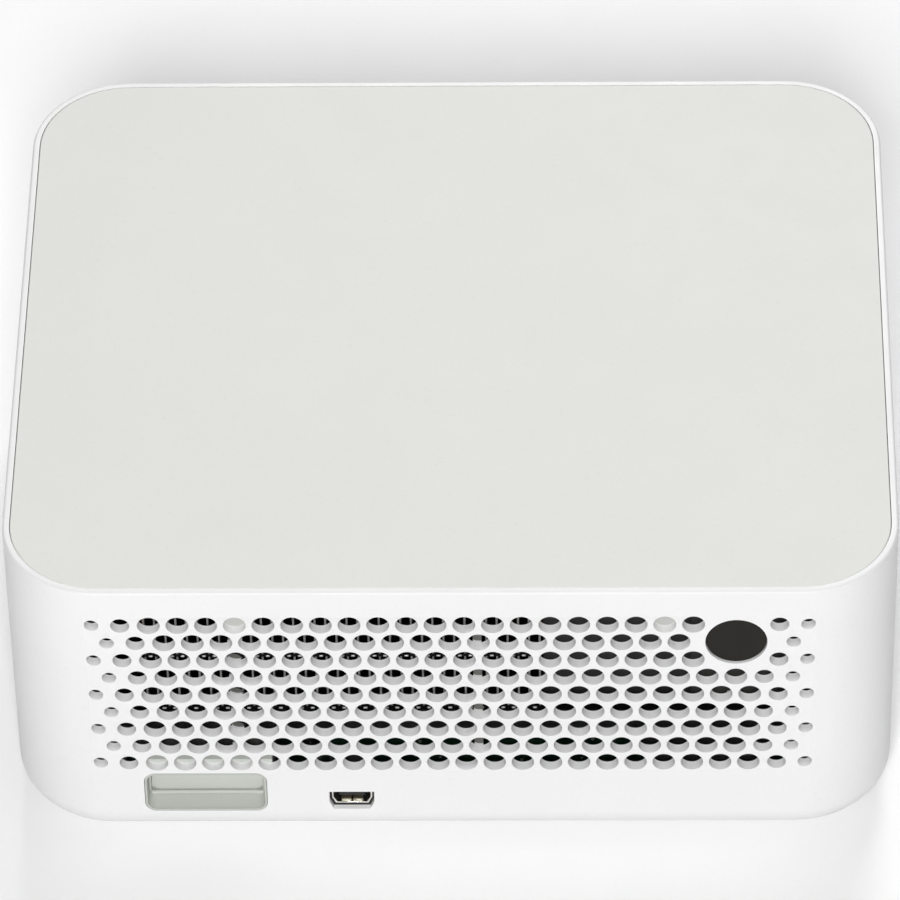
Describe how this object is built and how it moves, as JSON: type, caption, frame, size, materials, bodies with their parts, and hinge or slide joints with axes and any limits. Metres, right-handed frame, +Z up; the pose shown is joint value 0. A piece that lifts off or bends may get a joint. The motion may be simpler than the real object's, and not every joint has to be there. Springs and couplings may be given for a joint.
{
  "type": "compact projector with a built-in disc drive",
  "caption": "Low square projector with rounded corners, a perforated rear face, a lens at the front and a slim sliding disc tray under it.",
  "frame": {"origin": "on the surface the feet stand on, under the middle of the housing", "axes": "+Z up; -Y is the front with the lens and the disc tray; +X is to the right seen from the front, and runs along the housing's width"},
  "size_m": [0.165, 0.142, 0.066],
  "materials": {
    "housing_white": "fine satin white moulding",
    "panel_white": "satin white top panel",
    "bay_grey": "smooth light grey-green moulding",
    "black_plastic": "black moulding",
    "dark_gloss": "dark gloss window",
    "rubber": "matt rubber",
    "steel_sheet": "plain zinc-plated sheet",
    "steel_bright": "bright nickel plate",
    "brass": "turned brass",
    "copper": "bare copper",
    "aluminium": "thin stamped aluminium",
    "board_green": "green solder resist",
    "grey_plastic": "dark grey moulding",
    "glass": "coated optical glass",
    "paper_cone": "coated paper cone",
    "cast_black": "black-coated die casting"
  },
  "bodies": {
    "chassis": {"housing_shell": "housing_white", "top_cover": "panel_white", "base_cover": "housing_white", "base_screws": "steel_bright", "rubber_feet": "rubber", "tripod_insert": "brass", "front_window": "dark_gloss", "ir_window": "dark_gloss", "ir_receiver": "board_green", "air_baffle": "black_plastic", "mid_frame": "steel_sheet", "inner_screws": "steel_bright", "main_board": "board_green", "main_chips": "black_plastic", "service_port": "steel_bright", "dongle_sleeve": "bay_grey", "dongle_socket": "steel_bright", "hdmi_socket": "steel_bright", "usb_socket": "steel_bright", "audio_jack": "black_plastic", "dc_inlet": "black_plastic", "power_board": "board_green", "switch_board": "board_green", "speaker_boxes": "black_plastic", "speaker_cones": "paper_cone", "engine_case": "cast_black", "engine_lid": "cast_black", "prism": "glass", "imaging_chip": "grey_plastic", "led_modules": "aluminium", "copper_blocks": "copper", "heat_pipes": "copper", "fin_stack": "aluminium", "blower_case": "black_plastic", "blower_lid": "black_plastic", "lens_barrel": "black_plastic", "rear_lens": "glass", "focus_motor": "steel_sheet", "drive_lower_case": "steel_sheet", "drive_upper_case": "steel_sheet", "drive_connector": "black_plastic"},
    "tray": {"tray": "grey_plastic", "tray_bezel": "housing_white", "traverse_plate": "steel_sheet", "guide_rods": "steel_bright", "spindle_motor": "steel_sheet", "sled_motor": "steel_sheet"},
    "rails": {"slide_rails": "steel_bright"},
    "eject_button": {"eject_button": "panel_white"},
    "turntable": {"turntable": "black_plastic"},
    "sled": {"pickup_sled": "grey_plastic"},
    "lead_screw": {"lead_screw": "steel_bright"},
    "impeller": {"impeller": "black_plastic"},
    "focus_ring": {"focus_ring": "black_plastic"},
    "focus_pinion": {"focus_pinion": "grey_plastic"},
    "lens_cell": {"lens_cell": "black_plastic", "front_lens": "glass"},
    "power_button": {"power_button": "housing_white"},
    "dongle_door": {"dongle_door": "bay_grey"},
    "kickstand": {"kickstand": "grey_plastic"}
  },
  "joints": [
    {"name": "tray_slide", "type": "slide", "parent": "chassis", "child": "tray", "axis": [0, -1, 0], "range_m": [0, 0.125]},
    {"name": "rail_slide", "type": "slide", "parent": "chassis", "child": "rails", "axis": [0, -1, 0], "range_m": [0, 0.0625]},
    {"name": "eject_press", "type": "slide", "parent": "tray", "child": "eject_button", "axis": [0, 1, 0], "range_m": [0, 0.0006], "stiffness_N_per_m": 300},
    {"name": "turntable_spin", "type": "hinge", "parent": "tray", "child": "turntable", "pos_m": [0, -0.0046, 0.024], "axis": [0, 0, 1], "continuous": true},
    {"name": "sled_travel", "type": "slide", "parent": "tray", "child": "sled", "axis": [-0.7071, -0.7071, 0], "range_m": [0, 0.034]},
    {"name": "screw_turn", "type": "hinge", "parent": "tray", "child": "lead_screw", "pos_m": [-0.01591, -0.04526, 0.0213], "axis": [-0.7071, -0.7071, 0], "continuous": true},
    {"name": "impeller_spin", "type": "hinge", "parent": "chassis", "child": "impeller", "pos_m": [0.027, 0.006, 0.045], "axis": [0, 0, 1], "continuous": true},
    {"name": "focus_turn", "type": "hinge", "parent": "chassis", "child": "focus_ring", "pos_m": [-0.036, -0.05, 0.0474], "axis": [0, 1, 0], "range_deg": [-60, 60]},
    {"name": "pinion_turn", "type": "hinge", "parent": "chassis", "child": "focus_pinion", "pos_m": [-0.05355, -0.05, 0.0474], "axis": [0, 1, 0], "range_deg": [-288, 288]},
    {"name": "cell_slide", "type": "slide", "parent": "chassis", "child": "lens_cell", "axis": [0, -1, 0], "range_m": [-0.001, 0.001]},
    {"name": "power_press", "type": "slide", "parent": "chassis", "child": "power_button", "axis": [-1, 0, 0], "range_m": [0, 0.0006], "stiffness_N_per_m": 400},
    {"name": "door_hinge", "type": "hinge", "parent": "chassis", "child": "dongle_door", "pos_m": [0.0463, 0.0657, 0.00995], "axis": [-1, 0, 0], "range_deg": [0, 88]},
    {"name": "stand_hinge", "type": "hinge", "parent": "chassis", "child": "kickstand", "pos_m": [0, -0.055, 0.0035], "axis": [-1, 0, 0], "range_deg": [0, 100]}
  ],
  "couplings": [
    {"joint": "rail_slide", "follows": "tray_slide", "ratio": 0.5},
    {"joint": "screw_turn", "follows": "sled_travel", "rad_per_m": 2094.4},
    {"joint": "focus_turn", "follows": "cell_slide", "rad_per_m": 1047.2},
    {"joint": "pinion_turn", "follows": "cell_slide", "rad_per_m": -5026.5}
  ]
}
